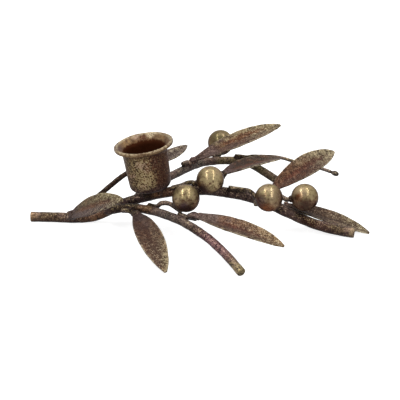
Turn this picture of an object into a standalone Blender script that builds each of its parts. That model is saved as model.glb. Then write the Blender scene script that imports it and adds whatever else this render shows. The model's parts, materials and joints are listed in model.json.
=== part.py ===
"""Candle holder in the form of an olive branch, welded up from round bar, pressed leaves and balls.

Metres, with +Z up. The branch lies along X, from its straight butt at -X to its tip at +X, and +Y
is its far side. The origin is on the table, under the middle of the whole. The stem arches clear
of the table between its two ends, and a side branch comes down to a foot on either side of it.
"""

import math

import bmesh
import bpy
from mathutils import Matrix, Vector

MM = 0.001

# The seam between two pieces that are welded together
WELD_GAP = 0.3 * MM

# Round bar and wire
STEM_DIAMETER = 6.0 * MM
BRANCH_DIAMETER = 5.0 * MM
STALK_DIAMETER = 2.8 * MM
TWIG_DIAMETER = 2.0 * MM
BAR_CHAMFER = 0.4 * MM
WIRE_CHAMFER = 0.3 * MM

# How deep a bar is filed flat where it stands on the table
FOOT_FLAT = 0.3 * MM

# Berries and the bud
BERRY_DIAMETER = 16.0 * MM
BUD_LENGTH = 5.0 * MM
BUD_DIAMETER = 3.3 * MM

# Pressed leaves, cut in two sizes from one sheet
LEAF_THICKNESS = 0.9 * MM
LARGE_LEAF_LENGTH = 61.0 * MM
LARGE_LEAF_WIDTH = 14.5 * MM
SMALL_LEAF_LENGTH = 52.0 * MM
SMALL_LEAF_WIDTH = 13.0 * MM
LEAF_NECK_WIDTH = 4.0 * MM
LEAF_TIP_WIDTH = 1.6 * MM
LEAF_CREASE = math.radians(16)
LEAF_BELLY = 0.535
LEAF_FULLNESS = 0.62
# How far each wire runs on under its leaf
STALK_UNDER_LEAF = 3.2 * MM

# Candle cup, turned about its own axis
CUP_HEIGHT = 28.0 * MM
CUP_BORE = 23.6 * MM
CUP_FLOOR_BORE = 22.2 * MM
CUP_WALL = 1.3 * MM
CUP_FLOOR = 1.5 * MM
CUP_RIM_DIAMETER = 35.0 * MM
CUP_LIP_DIAMETER = 2.2 * MM
CUP_LIP_WRAP = math.radians(125)
CUP_FLARE_RADIUS = 5.0 * MM
CUP_FLARE_TURN = math.radians(58)
CUP_CORNER_RADIUS = 3.2 * MM
CUP_FLOOR_CORNER = 1.5 * MM
CUP_LEAN = math.radians(8.8)
CUP_X = -27.7 * MM

# Weld pad that carries the cup on the stem
PAD_DIAMETER = 15.0 * MM
PAD_HEIGHT = 1.6 * MM
PAD_SKIRT = 2.0 * MM
PAD_ROUNDING = 0.5 * MM

# Facets
BAR_SIDES = 12
WIRE_SIDES = 8
CUP_SIDES = 40
CUP_ARC_STEPS = 5
CUP_LIP_STEPS = 7
CUP_FLOOR_STEPS = 3
BERRY_SEGMENTS = 20
BERRY_RINGS = 12
LEAF_STEPS = 14
LEAF_HALF_STEPS = 3
MOST_TURN = math.radians(9)
LONGEST_STEP = 9.0 * MM
ROUTE_STEP = 0.8 * MM

# The edges shaded sharp are those that turn by more than this
BAR_SHARP = math.radians(40)
CUP_SHARP = math.radians(50)
LEAF_SHARP = math.radians(30)
BALL_SHARP = math.radians(60)

# Bars bent to shape: x, y and the height of the underside over the table, in millimetres
STEM_BENDS = (
    (-100.5, 1.9, 0.0),
    (-84.0, 1.0, 0.0),
    (-69.0, 0.2, 0.0),
    (-61.0, 0.0, 1.5),
    (-54.0, 0.0, 4.8),
    (-46.0, -1.0, 9.6),
    (-38.0, -2.0, 13.0),
    (-29.5, -3.0, 15.7),
    (-16.5, -4.5, 19.0),
    (0.0, -7.0, 21.3),
    (14.5, -9.0, 20.6),
    (29.0, -11.0, 18.3),
    (48.0, -14.0, 11.3),
    (60.0, -16.0, 6.1),
    (70.0, -18.0, 2.7),
    (80.0, -19.4, 0.7),
    (89.5, -21.0, 0.0),
)
FRONT_BRANCH_BENDS = (
    (-39.5, -8.8, 11.0),
    (-32.0, -14.0, 12.4),
    (-21.5, -22.0, 13.1),
    (-14.0, -28.0, 12.8),
    (-5.3, -36.0, 11.4),
    (5.0, -45.5, 8.2),
    (13.8, -56.0, 4.0),
    (23.0, -72.0, -0.3),
)
REAR_BRANCH_BENDS = (
    (-34.0, 8.6, 14.4),
    (-28.5, 14.0, 15.6),
    (-15.5, 27.5, 16.9),
    (-5.0, 41.5, 16.8),
    (3.0, 49.5, 16.2),
    (15.0, 55.5, 14.8),
    (22.0, 58.0, 14.0),
    (31.5, 60.0, 10.8),
    (39.0, 60.0, 6.0),
    (49.0, 58.7, -0.2),
)

# Where each branch lies against the stem: x in millimetres and the clock angle round the bar,
# from straight up towards the back, in degrees, at the first and at the last point of the weld
FRONT_BRANCH_WELD = (-54.5, -63, -46.5, -91)
REAR_BRANCH_WELD = (-45.0, 118, -39.5, 108)

# Leaves: the bar that carries the stalk, its weld on that bar, then the steps in millimetres from
# the end of the weld to the neck of the leaf. The heading is in plan from +X towards +Y, the climb
# is over the horizontal, the roll lifts the left edge, and the arch and the sweep bow the midrib
# up and to the left, in millimetres.
LARGE = (LARGE_LEAF_LENGTH, LARGE_LEAF_WIDTH)
SMALL = (SMALL_LEAF_LENGTH, SMALL_LEAF_WIDTH)
LEAVES = {
    "butt_leaf": {
        "bar": "main_stem",
        "weld": (-78.5, -64, -76.0, -64),
        "steps": ((1.2, -0.3, 0.3),),
        "blank": SMALL,
        "heading": -44,
        "climb": 28.4,
        "roll": 50,
        "arch": 1.8,
        "sweep": 0.0,
    },
    "front_left_leaf": {
        "bar": "front_branch",
        "weld": (-45.0, -90, -41.0, -90),
        "steps": ((4.7, -2.8, -1.8),),
        "blank": LARGE,
        "heading": -71.3,
        "climb": -10.2,
        "roll": 14,
        "arch": 2.8,
        "sweep": 0.5,
    },
    "rear_left_leaf": {
        "bar": "main_stem",
        "weld": (-79.0, 86, -75.0, 68),
        "steps": ((18.7, 9.5, 10.9), (30.4, 19.6, 16.9), (33.4, 22.6, 17.1)),
        "blank": SMALL,
        "heading": 51,
        "climb": -1.5,
        "roll": 1,
        "arch": -2.0,
        "sweep": -2.0,
    },
    "rear_upper_leaf": {
        "bar": "rear_branch",
        "weld": (-10.8, 0, -8.3, -5),
        "steps": ((3.7, -0.4, -1.0),),
        "blank": LARGE,
        "heading": 23.3,
        "climb": 13.8,
        "roll": 12,
        "arch": 2.2,
        "sweep": -2.0,
    },
    "middle_leaf": {
        "bar": "main_stem",
        "weld": (-0.5, 35, 4.0, 50),
        "steps": ((7.3, 12.0, -2.4),),
        "blank": SMALL,
        "heading": 43.1,
        "climb": -3.7,
        "roll": 2.5,
        "arch": 1.2,
        "sweep": 0.3,
    },
    "rear_right_leaf": {
        "bar": "main_stem",
        "weld": (33.0, 60, 37.0, 62),
        "steps": ((1.8, 2.6, 0.2),),
        "blank": LARGE,
        "heading": 47.7,
        "climb": 6.6,
        "roll": 27.6,
        "arch": 3.0,
        "sweep": 0.0,
    },
    "tip_leaf": {
        "bar": "main_stem",
        "weld": (41.0, 80, 45.5, 84),
        "steps": ((2.5, 0.0, -1.9),),
        "blank": SMALL,
        "heading": -7.6,
        "climb": -16.9,
        "roll": 10,
        "arch": -2.6,
        "sweep": 4.8,
    },
    "front_right_leaf": {
        "bar": "front_branch",
        "weld": (-15.0, 76, -11.0, 76),
        "steps": ((3.5, -1.3, 0.1),),
        "blank": LARGE,
        "heading": -32.8,
        "climb": -4.4,
        "roll": 6.2,
        "arch": 1.7,
        "sweep": -1.3,
    },
}

# Berries: the bar that carries the stalk, its weld, the steps in millimetres from the end of the
# weld to the stalk's end, and the side of the wire on which the berry sits with how far back from
# the end it touches, in millimetres. A berry with no side sits on the end itself.
BERRIES = {
    "rear_berry": {
        "bar": "rear_branch",
        "weld": (8.4, 40, 11.9, 60),
        "steps": ((1.4, 1.1, -0.1), (1.7, 3.0, 0.8)),
        "side": None,
    },
    "middle_berry": {
        "bar": "main_stem",
        "weld": (-15.5, -42, -10.5, -38),
        "steps": ((3.6, -0.5, 2.2), (6.2, -1.3, 3.1), (8.1, -3.9, 3.8), (8.1, -6.9, 4.2)),
        "side": (9.4, 0.1, 2.7),
        "seat": 0.5,
    },
    "front_berry": {
        "bar": "front_branch",
        "weld": (-32.5, 75, -28.0, 82),
        "steps": (
            (2.5, -1.6, 3.0),
            (5.3, -2.6, 3.9),
            (8.2, -3.2, 3.5),
            (11.6, -3.8, 1.4),
            (15.0, -4.4, -1.1),
        ),
        "side": (5.1, -3.0, 7.9),
        "seat": 3.4,
    },
    "right_berry": {
        "bar": "main_stem",
        "weld": (16.5, -30, 23.5, -30),
        "steps": ((3.5, -1.8, 0.5), (6.6, -3.6, -0.6), (8.5, -5.6, -3.6), (8.5, -6.8, -7.2)),
        "side": (7.0, -5.6, 3.2),
        "seat": 3.8,
    },
    "far_right_berry": {
        "bar": "main_stem",
        "weld": (36.0, 0, 41.0, 5),
        "steps": ((4.0, 0.1, 0.9), (7.4, -0.3, -1.0), (9.8, -0.5, -0.7)),
        "side": None,
    },
}

# The bare twig with the bud, on the far branch
TWIG_WELD = (21.0, -18, 27.0, -18)
TWIG_STEPS = (
    (2.9, -1.1, 0.9),
    (10.2, -1.6, 1.1),
    (22.0, -2.5, 0.6),
    (26.9, -3.9, -0.7),
    (36.7, -6.9, -2.2),
    (46.8, -9.9, -3.7),
    (52.6, -11.9, -5.2),
)

# Which way is up, for every frame that is built along a bar or a leaf
UP = Vector((0.0, 0.0, 1.0))


def remove_all():
    """Clears the startup scene."""
    for found in list(bpy.data.objects):
        bpy.data.objects.remove(found, do_unlink=True)


def finish(name, colour, roughness, metallic):
    """A plain material for one kind of piece."""
    material = bpy.data.materials.new(name)
    material.use_nodes = True
    shader = material.node_tree.nodes["Principled BSDF"]
    shader.inputs["Base Color"].default_value = (*colour, 1.0)
    shader.inputs["Roughness"].default_value = roughness
    shader.inputs["Metallic"].default_value = metallic
    material.diffuse_color = (*colour, 1.0)
    return material


def millimetres(point):
    """A point written in millimetres, in metres."""
    return Vector(point) * MM


class Route:
    """A smooth curve through chosen points, read by distance along it or by x."""

    def __init__(self, bends):
        self.points = [bends[0].copy()]
        slopes = self.slopes(bends)
        for i in range(len(bends) - 1):
            span = (bends[i + 1] - bends[i]).length
            steps = max(2, round(span / ROUTE_STEP))
            for step in range(1, steps + 1):
                self.points.append(self.between(bends, slopes, i, span, step / steps))
        self.distances = [0.0]
        for before, after in zip(self.points, self.points[1:]):
            self.distances.append(self.distances[-1] + (after - before).length)
        self.length = self.distances[-1]

    @staticmethod
    def slopes(bends):
        """The direction of the curve at each chosen point, set by its two neighbours."""
        found = [(bends[1] - bends[0]).normalized()]
        for before, here, after in zip(bends, bends[1:], bends[2:]):
            near, far = (here - before).length, (after - here).length
            found.append(((here - before) / near * far + (after - here) / far * near) / (near + far))
        found.append((bends[-1] - bends[-2]).normalized())
        return found

    @staticmethod
    def between(bends, slopes, i, span, share):
        """A point of the cubic curve between two chosen points."""
        square, cube = share**2, share**3
        return (
            bends[i] * (2 * cube - 3 * square + 1)
            + slopes[i] * span * (cube - 2 * square + share)
            + bends[i + 1] * (3 * square - 2 * cube)
            + slopes[i + 1] * span * (cube - square)
        )

    def at(self, distance):
        """The point and the direction of the curve at this distance from its start."""
        i = 0
        while i < len(self.points) - 2 and self.distances[i + 1] < distance:
            i += 1
        along = self.points[i + 1] - self.points[i]
        share = (distance - self.distances[i]) / along.length
        return self.points[i] + along * share, along.normalized()

    def at_x(self, x):
        """The point and the direction of the curve where it crosses this x."""
        i = 0
        while i < len(self.points) - 2 and self.points[i + 1].x < x:
            i += 1
        along = self.points[i + 1] - self.points[i]
        share = (x - self.points[i].x) / along.x
        return self.points[i] + along * share, along.normalized()

    def stations(self, end_length):
        """Distances for the rings of a bar: close where it bends, far apart where it is straight."""
        found = [0.0, end_length]
        heading = self.at(end_length)[1]
        for distance in self.distances:
            if distance <= end_length * 2 or distance >= self.length - end_length * 2:
                continue
            direction = self.at(distance)[1]
            if direction.angle(heading) > MOST_TURN or distance - found[-1] > LONGEST_STEP:
                found.append(distance)
                heading = direction
        return found + [self.length - end_length, self.length]


def beside(carrier, x, clock, own_diameter):
    """The centre of a second bar that touches the carrier at this x, at a clock angle round it."""
    point, direction = carrier["route"].at_x(x)
    side = UP.cross(direction).normalized()
    over = direction.cross(side)
    reach = carrier["diameter"] / 2 + own_diameter / 2 + WELD_GAP
    return point + (over * math.cos(clock) + side * math.sin(clock)) * reach


def welded_start(carrier, weld, own_diameter):
    """Three points of a bar or wire along the stretch where it is welded to its carrier."""
    first_x, first_clock, last_x, last_clock = weld
    points = []
    for share in (0.0, 0.5, 1.0):
        x = (first_x + (last_x - first_x) * share) * MM
        clock = math.radians(first_clock + (last_clock - first_clock) * share)
        points.append(beside(carrier, x, clock, own_diameter))
    return points


def over_table(bends, diameter):
    """Bar centres from the x, the y and the height of the underside, in millimetres."""
    rise = diameter / 2 - FOOT_FLAT
    return [Vector((x * MM, y * MM, height * MM + rise)) for x, y, height in bends]


def new_object(name, bm, material, sharp=BAR_SHARP):
    """Makes the mesh an object of its own, with round faces shaded smooth."""
    bmesh.ops.recalc_face_normals(bm, faces=bm.faces)
    mesh = bpy.data.meshes.new(name)
    bm.to_mesh(mesh)
    bm.free()
    mesh.shade_smooth()
    mesh.set_sharp_from_angle(angle=sharp)
    mesh.materials.append(material)
    made = bpy.data.objects.new(name, mesh)
    bpy.context.scene.collection.objects.link(made)
    return made


def skin_rings(bm, rings):
    """Joins each ring of corners to the next, and closes both ends."""
    count = len(rings[0])
    for lower, upper in zip(rings, rings[1:]):
        for i in range(count):
            j = (i + 1) % count
            bm.faces.new((lower[i], lower[j], upper[j], upper[i]))
    bm.faces.new(reversed(rings[0]))
    bm.faces.new(rings[-1])


def swept_bar(route, diameter, sides, chamfer):
    """A round bar along a route, with chamfered ends."""
    bm = bmesh.new()
    rings = []
    across = route.at(0.0)[1].orthogonal()
    for distance in route.stations(chamfer):
        centre, along = route.at(distance)
        across = (across - along * across.dot(along)).normalized()
        other = along.cross(across)
        radius = diameter / 2 - max(0.0, chamfer - min(distance, route.length - distance))
        ring = []
        for i in range(sides):
            turn = 2 * math.pi * i / sides
            spoke = across * math.cos(turn) + other * math.sin(turn)
            ring.append(bm.verts.new(centre + spoke * radius))
        rings.append(ring)
    skin_rings(bm, rings)
    return bm


def file_flat(bm):
    """Takes off what lies under the table, so that the bar stands on a flat."""
    bmesh.ops.bisect_plane(
        bm,
        geom=bm.verts[:] + bm.edges[:] + bm.faces[:],
        plane_co=(0.0, 0.0, 0.0),
        plane_no=(0.0, 0.0, -1.0),
        clear_outer=True,
    )
    open_edges = [edge for edge in bm.edges if edge.is_boundary]
    bmesh.ops.holes_fill(bm, edges=open_edges)


def make_bar(name, points, diameter, material):
    """One of the three bars that carry everything, filed flat where it stands."""
    route = Route(points)
    bm = swept_bar(route, diameter, BAR_SIDES, BAR_CHAMFER)
    file_flat(bm)
    new_object(name, bm, material)
    return {"route": route, "diameter": diameter}


def arc(centre_radius, centre_height, radius, first, last, steps):
    """Points of an arc in the cup's profile, from one angle to the other in radians."""
    found = []
    for step in range(steps + 1):
        turn = first + (last - first) * step / steps
        found.append((centre_radius + radius * math.cos(turn), centre_height + radius * math.sin(turn)))
    return found


def cup_profile():
    """The wall of the cup in section: up the outside, round the lip, and down the inside."""
    mouth_inner, floor_inner = CUP_BORE / 2, CUP_FLOOR_BORE / 2
    mouth_outer, foot_outer = mouth_inner + CUP_WALL, floor_inner + CUP_WALL
    lip = CUP_LIP_DIAMETER / 2
    lip_radius, lip_height = CUP_RIM_DIAMETER / 2 - lip, CUP_HEIGHT - lip
    bend = math.pi - CUP_FLARE_TURN
    outer_flare = CUP_FLARE_RADIUS - CUP_WALL / 2
    inner_flare = CUP_FLARE_RADIUS + CUP_WALL / 2
    centre = mouth_outer + outer_flare
    # The flare runs straight on from its bend to the middle of the lip
    run = lip_radius - (centre + CUP_FLARE_RADIUS * math.cos(bend))
    rise = CUP_FLARE_RADIUS * math.sin(bend) + run / math.tan(CUP_FLARE_TURN)
    start = lip_height - rise
    tilt = math.pi / 2 - CUP_FLARE_TURN
    outside = [(0.0, 0.0)]
    corner = CUP_CORNER_RADIUS
    outside += arc(foot_outer - corner, corner, corner, -math.pi / 2, 0, CUP_ARC_STEPS)
    outside += arc(centre, start, outer_flare, math.pi, bend, CUP_ARC_STEPS)
    lip_arc = arc(lip_radius, lip_height, lip, tilt - CUP_LIP_WRAP, tilt + CUP_LIP_WRAP, CUP_LIP_STEPS)
    inside = arc(centre, start, inner_flare, bend, math.pi, CUP_ARC_STEPS)
    corner = CUP_FLOOR_CORNER
    inside += arc(floor_inner - corner, CUP_FLOOR + corner, corner, 0, -math.pi / 2, CUP_FLOOR_STEPS)
    inside.append((0.0, CUP_FLOOR))
    return outside + lip_arc + inside


def make_cup(foot, lean, material):
    """The candle cup, turned from its profile, with its foot at a point and its axis leaning."""
    bm = bmesh.new()
    corners = [bm.verts.new((radius, 0.0, height)) for radius, height in cup_profile()]
    edges = [bm.edges.new(pair) for pair in zip(corners, corners[1:])]
    bmesh.ops.spin(
        bm,
        geom=corners + edges,
        axis=(0.0, 0.0, 1.0),
        cent=(0.0, 0.0, 0.0),
        angle=2 * math.pi,
        steps=CUP_SIDES,
        use_merge=True,
    )
    bmesh.ops.remove_doubles(bm, verts=bm.verts, dist=0.001 * MM)
    cup = new_object("candle_cup", bm, material, CUP_SHARP)
    cup.location = foot
    cup.rotation_euler = (0.0, -lean, 0.0)


def make_cup_pad(foot, lean, stem, material):
    """The pad of weld between the stem and the cup: a short disc, hollowed to sit over the bar."""
    bm = bmesh.new()
    depth = PAD_HEIGHT + PAD_SKIRT
    bmesh.ops.create_cone(
        bm,
        cap_ends=True,
        segments=BERRY_SEGMENTS,
        radius1=PAD_DIAMETER / 2,
        radius2=PAD_DIAMETER / 2,
        depth=depth,
        matrix=Matrix.Translation((0.0, 0.0, -WELD_GAP - depth / 2)),
    )
    rims = [edge for edge in bm.edges if not any(abs(face.normal.z) < 0.5 for face in edge.link_faces)]
    bmesh.ops.bevel(bm, geom=rims, offset=PAD_ROUNDING, segments=2, affect="EDGES")
    pad = new_object("cup_weld", bm, material)
    pad.location = foot
    pad.rotation_euler = (0.0, -lean, 0.0)
    wider = stem["diameter"] + 2 * WELD_GAP
    cutter = new_object("stem_cutter", swept_bar(stem["route"], wider, BAR_SIDES, BAR_CHAMFER), material)
    cutter.hide_render = True
    cutter.display_type = "WIRE"
    hollow = pad.modifiers.new("saddle", "BOOLEAN")
    hollow.operation = "DIFFERENCE"
    hollow.object = cutter


def half_width(share, width):
    """Half of a leaf's width at a share of its length, fullest at its belly."""
    eased = share ** (math.log(0.5) / math.log(LEAF_BELLY))
    least = LEAF_NECK_WIDTH + (LEAF_TIP_WIDTH - LEAF_NECK_WIDTH) * share
    swell = math.sin(math.pi * eased) ** LEAF_FULLNESS if 0 < eased < 1 else 0.0
    return max(least, width * swell) / 2


class LeafFrame:
    """Where a leaf's midrib runs and which way its face looks, from its neck to its tip."""

    def __init__(self, neck, spec):
        self.length, self.width = spec["blank"]
        heading, roll = math.radians(spec["heading"]), math.radians(spec["roll"])
        self.arch, self.sweep = spec["arch"] * MM, spec["sweep"] * MM
        climb = math.radians(spec["climb"])
        flat = Vector((math.cos(heading), math.sin(heading), 0.0))
        self.along = flat * math.cos(climb) + UP * math.sin(climb)
        left = UP.cross(flat)
        face = self.along.cross(left)
        self.left = left * math.cos(roll) + face * math.sin(roll)
        self.face = self.along.cross(self.left)
        self.lift = STALK_DIAMETER / 2 + WELD_GAP + LEAF_THICKNESS / 2
        self.start = neck + self.face * self.lift

    def midrib(self, share):
        """A point of the midrib, which bows up and sideways between the neck and the tip."""
        bow = (self.face * self.arch + self.left * self.sweep) * 4 * share * (1 - share)
        return self.start + self.along * self.length * share + bow

    def under(self, distance):
        """The centre of the stalk's wire where it lies under the midrib."""
        return self.midrib(distance / self.length) - self.face * self.lift


def make_leaf(name, frame, material):
    """A pressed leaf: a creased and bowed sheet, given its thickness by a modifier."""
    bm = bmesh.new()
    rows = []
    across = range(-LEAF_HALF_STEPS, LEAF_HALF_STEPS + 1)
    for step in range(LEAF_STEPS + 1):
        # Rows stand closer towards the tip and the neck, where the outline turns most
        share = (1 - math.cos(math.pi * step / LEAF_STEPS)) / 2
        middle = frame.midrib(share)
        reach = half_width(share, frame.width)
        row = []
        for i in across:
            out = reach * i / LEAF_HALF_STEPS
            rise = abs(out) * math.tan(LEAF_CREASE)
            row.append(bm.verts.new(middle + frame.left * out + frame.face * rise))
        rows.append(row)
    for near, far in zip(rows, rows[1:]):
        for i in range(2 * LEAF_HALF_STEPS):
            bm.faces.new((near[i], far[i], far[i + 1], near[i + 1]))
    leaf = new_object(name, bm, material, LEAF_SHARP)
    sheet = leaf.modifiers.new("sheet", "SOLIDIFY")
    sheet.thickness = LEAF_THICKNESS
    sheet.offset = 0.0
    sheet.use_even_offset = True


def make_leaf_with_stalk(name, spec, carrier, leaf_material, wire_material):
    """A leaf on its wire: along the bar, up to the neck, and on under the midrib."""
    weld = welded_start(carrier, spec["weld"], STALK_DIAMETER)
    steps = [weld[-1] + millimetres(step) for step in spec["steps"]]
    frame = LeafFrame(steps[-1], spec)
    tail = [frame.under(STALK_UNDER_LEAF * share) for share in (0.5, 1.0)]
    route = Route(weld + steps + tail)
    bm = swept_bar(route, STALK_DIAMETER, WIRE_SIDES, WIRE_CHAMFER)
    new_object(name + "_stalk", bm, wire_material)
    make_leaf(name, frame, leaf_material)


def berry_centre(route, spec):
    """Where the middle of a berry comes: ahead of the wire's end, or square to it at the seat."""
    if spec["side"] is None:
        end, along = route.at(route.length)
        return end + along * (BERRY_DIAMETER / 2 + WELD_GAP)
    seat, along = route.at(route.length - spec["seat"] * MM)
    side = Vector(spec["side"])
    side = (side - along * side.dot(along)).normalized()
    return seat + side * (BERRY_DIAMETER / 2 + STALK_DIAMETER / 2 + WELD_GAP)


def make_berry(name, spec, carrier, berry_material, wire_material):
    """A solid ball on its bent wire."""
    weld = welded_start(carrier, spec["weld"], STALK_DIAMETER)
    route = Route(weld + [weld[-1] + millimetres(step) for step in spec["steps"]])
    wire = swept_bar(route, STALK_DIAMETER, WIRE_SIDES, WIRE_CHAMFER)
    new_object(name + "_stalk", wire, wire_material)
    bm = bmesh.new()
    bmesh.ops.create_uvsphere(
        bm, u_segments=BERRY_SEGMENTS, v_segments=BERRY_RINGS, radius=BERRY_DIAMETER / 2
    )
    ball = new_object(name, bm, berry_material, BALL_SHARP)
    ball.location = berry_centre(route, spec)


def make_twig(carrier, wire_material, bud_material):
    """The bare twig, and the bud on its end."""
    weld = welded_start(carrier, TWIG_WELD, TWIG_DIAMETER)
    route = Route(weld + [weld[-1] + millimetres(step) for step in TWIG_STEPS])
    new_object("bud_twig", swept_bar(route, TWIG_DIAMETER, WIRE_SIDES, WIRE_CHAMFER), wire_material)
    end, along = route.at(route.length)
    bm = bmesh.new()
    slim = BUD_DIAMETER / BUD_LENGTH
    bmesh.ops.create_uvsphere(
        bm,
        u_segments=BERRY_RINGS,
        v_segments=BERRY_RINGS // 2,
        radius=BUD_LENGTH / 2,
        matrix=Matrix.Diagonal((slim, slim, 1.0, 1.0)),
    )
    bud = new_object("bud", bm, bud_material, BALL_SHARP)
    bud.location = end + along * (BUD_LENGTH / 2 + WELD_GAP)
    bud.rotation_mode = "QUATERNION"
    bud.rotation_quaternion = along.to_track_quat("Z", "Y")


def stand_on_origin():
    """Parents everything to one empty, and moves that so the middle of the whole is at the origin."""
    root = bpy.data.objects.new("candlestick", None)
    pieces = list(bpy.data.objects)
    bpy.context.scene.collection.objects.link(root)
    depsgraph = bpy.context.evaluated_depsgraph_get()
    corners = []
    for piece in pieces:
        if piece.type == "MESH":
            piece.parent = root
            if not piece.hide_render:
                shape = piece.evaluated_get(depsgraph)
                corners += [shape.matrix_world @ Vector(corner) for corner in shape.bound_box]
    for axis in (0, 1):
        values = [corner[axis] for corner in corners]
        root.location[axis] = -(min(values) + max(values)) / 2


def main():
    remove_all()
    bar_finish = finish("antique bronze bar", (0.10, 0.065, 0.04), 0.55, 0.7)
    wire_finish = finish("dark wire", (0.07, 0.045, 0.03), 0.6, 0.6)
    leaf_finish = finish("coppery leaf", (0.19, 0.11, 0.06), 0.5, 0.7)
    berry_finish = finish("rubbed gold", (0.36, 0.28, 0.12), 0.35, 0.9)
    cup_finish = finish("speckled gold", (0.24, 0.17, 0.08), 0.45, 0.8)

    bars = {}
    bars["main_stem"] = make_bar(
        "main_stem", over_table(STEM_BENDS, STEM_DIAMETER), STEM_DIAMETER, bar_finish
    )
    for name, weld, bends in (
        ("front_branch", FRONT_BRANCH_WELD, FRONT_BRANCH_BENDS),
        ("rear_branch", REAR_BRANCH_WELD, REAR_BRANCH_BENDS),
    ):
        start = welded_start(bars["main_stem"], weld, BRANCH_DIAMETER)
        points = start + over_table(bends, BRANCH_DIAMETER)
        bars[name] = make_bar(name, points, BRANCH_DIAMETER, bar_finish)

    on_stem, direction = bars["main_stem"]["route"].at_x(CUP_X)
    pad_foot = on_stem + direction.cross(UP.cross(direction).normalized()) * (STEM_DIAMETER / 2 + WELD_GAP)
    foot = pad_foot + UP * (PAD_HEIGHT + WELD_GAP)
    make_cup(foot, CUP_LEAN, cup_finish)
    make_cup_pad(foot, CUP_LEAN, bars["main_stem"], wire_finish)

    for name, spec in LEAVES.items():
        make_leaf_with_stalk(name, spec, bars[spec["bar"]], leaf_finish, wire_finish)
    for name, spec in BERRIES.items():
        make_berry(name, spec, bars[spec["bar"]], berry_finish, wire_finish)
    make_twig(bars["rear_branch"], wire_finish, berry_finish)
    stand_on_origin()


main()
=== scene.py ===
"""Looks of the olive-branch candle holder: antique bronze, rubbed to gold where hands reach it.

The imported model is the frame, in metres with +Z up. Every node in it is dressed by a finer piece of
the same form that stands where the node stands, and the beads of weld between them are added.
"""

import json
import math
import random
from typing import NamedTuple

import bpy
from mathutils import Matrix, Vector
from mathutils.bvhtree import BVHTree


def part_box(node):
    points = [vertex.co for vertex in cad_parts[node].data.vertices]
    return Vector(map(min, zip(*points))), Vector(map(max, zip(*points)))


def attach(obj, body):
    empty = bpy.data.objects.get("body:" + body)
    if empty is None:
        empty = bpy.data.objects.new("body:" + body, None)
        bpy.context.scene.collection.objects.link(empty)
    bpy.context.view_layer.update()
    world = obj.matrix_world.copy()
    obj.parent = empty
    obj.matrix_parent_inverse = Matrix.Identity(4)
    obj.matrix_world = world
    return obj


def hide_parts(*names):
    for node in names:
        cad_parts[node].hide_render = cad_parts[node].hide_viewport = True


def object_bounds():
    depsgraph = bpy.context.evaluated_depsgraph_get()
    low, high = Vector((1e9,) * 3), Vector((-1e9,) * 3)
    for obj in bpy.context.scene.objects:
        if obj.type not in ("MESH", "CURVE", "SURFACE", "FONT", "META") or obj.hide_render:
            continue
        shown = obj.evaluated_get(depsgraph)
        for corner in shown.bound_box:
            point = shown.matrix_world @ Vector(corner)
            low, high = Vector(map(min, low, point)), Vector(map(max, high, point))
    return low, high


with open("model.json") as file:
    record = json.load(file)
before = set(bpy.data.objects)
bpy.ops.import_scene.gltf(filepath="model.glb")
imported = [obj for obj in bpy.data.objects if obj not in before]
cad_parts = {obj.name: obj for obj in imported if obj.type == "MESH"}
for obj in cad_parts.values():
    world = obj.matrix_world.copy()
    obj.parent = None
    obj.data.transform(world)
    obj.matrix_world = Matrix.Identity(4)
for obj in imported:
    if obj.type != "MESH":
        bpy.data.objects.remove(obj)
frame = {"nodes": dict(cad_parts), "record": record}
cad_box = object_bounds()

MM = 0.001
WHITE = (1.0, 1.0, 1.0, 1.0)

# A piece that stands for a node has the node's name after this
PREFIX = "bronze_"

# The camera looks at this point over the middle of the table, from the viewer's side
VIEW_POINT = Vector((0.8, -1.5, 14.3)) * MM
VIEW_DISTANCE = 900 * MM
VIEW_ELEVATION = math.radians(23.5)
VIEW_FIELD = math.radians(14.94)

# The table and the world are bright for the rays that see them, and give the object little light
TABLE_SIZE = 6.0
TABLE_COLOUR = (0.6, 0.6, 0.6, 1.0)
TABLE_ROUGHNESS = 0.9
TABLE_GLOW = 0.85
WORLD_LIGHT = 0.2
RAYS_THAT_SEE = ("Camera", "Glossy", "Transmission")

# The lamps hang over the table, facing down: place, turn from the Y axis, size and power
LAMPS = (
    ("left strip", (-0.65, -0.8, 1.0), -14, (0.09, 2.4), 13.0),
    ("right strip", (0.58, -0.76, 1.0), 14, (0.06, 2.4), 8.5),
    ("overhead", (0.1, 0.3, 1.2), 0, (0.9, 0.9), 3.0),
)


class Form(NamedTuple):
    """How a kind of piece is worked from its solid.

    It is divided this many times, and swells by what a round with few sides loses by that. An edge
    stays if it turns by more than an angle in degrees, and is as sharp as the share beside it.
    Lumps of a size and a depth make the surface uneven.
    """

    levels: int
    swell: float = 0.0
    edges: tuple = ()
    lumps: tuple = ()


BAR = Form(
    levels=3,
    swell=0.13 * MM,
    edges=((37, 0.75),),
    lumps=((5 * MM, 0.5 * MM), (1.4 * MM, 0.16 * MM)),
)
WIRE = Form(levels=3, swell=0.13 * MM, edges=((50, 0.7),), lumps=((3 * MM, 0.3 * MM),))
THICK_WIRE = WIRE._replace(swell=0.35 * MM)
LEAF = Form(levels=3, edges=((24, 0.45), (60, 0.35)), lumps=((6 * MM, 0.5 * MM),))
BUD = Form(levels=2, swell=0.13 * MM, lumps=((1.5 * MM, 0.3 * MM),))
CUP = Form(levels=2, swell=0.03 * MM, lumps=((7 * MM, 0.5 * MM), (1.6 * MM, 0.1 * MM)))

# Points of a solid that are this near are merged. Two of its triangles join into one four-sided
# face if they turn by less than this from each other, and its corners by less than this from square
MERGE_WITHIN = 0.01 * MM
FACE_TURN = math.radians(50)
CORNER_TURN = math.radians(80)

# The balls are made round, and only just dented
BALL_SEGMENTS = 72
BALL_RINGS = 48
BALL_LUMPS = ((5 * MM, 0.15 * MM), (1.2 * MM, 0.02 * MM))

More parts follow.
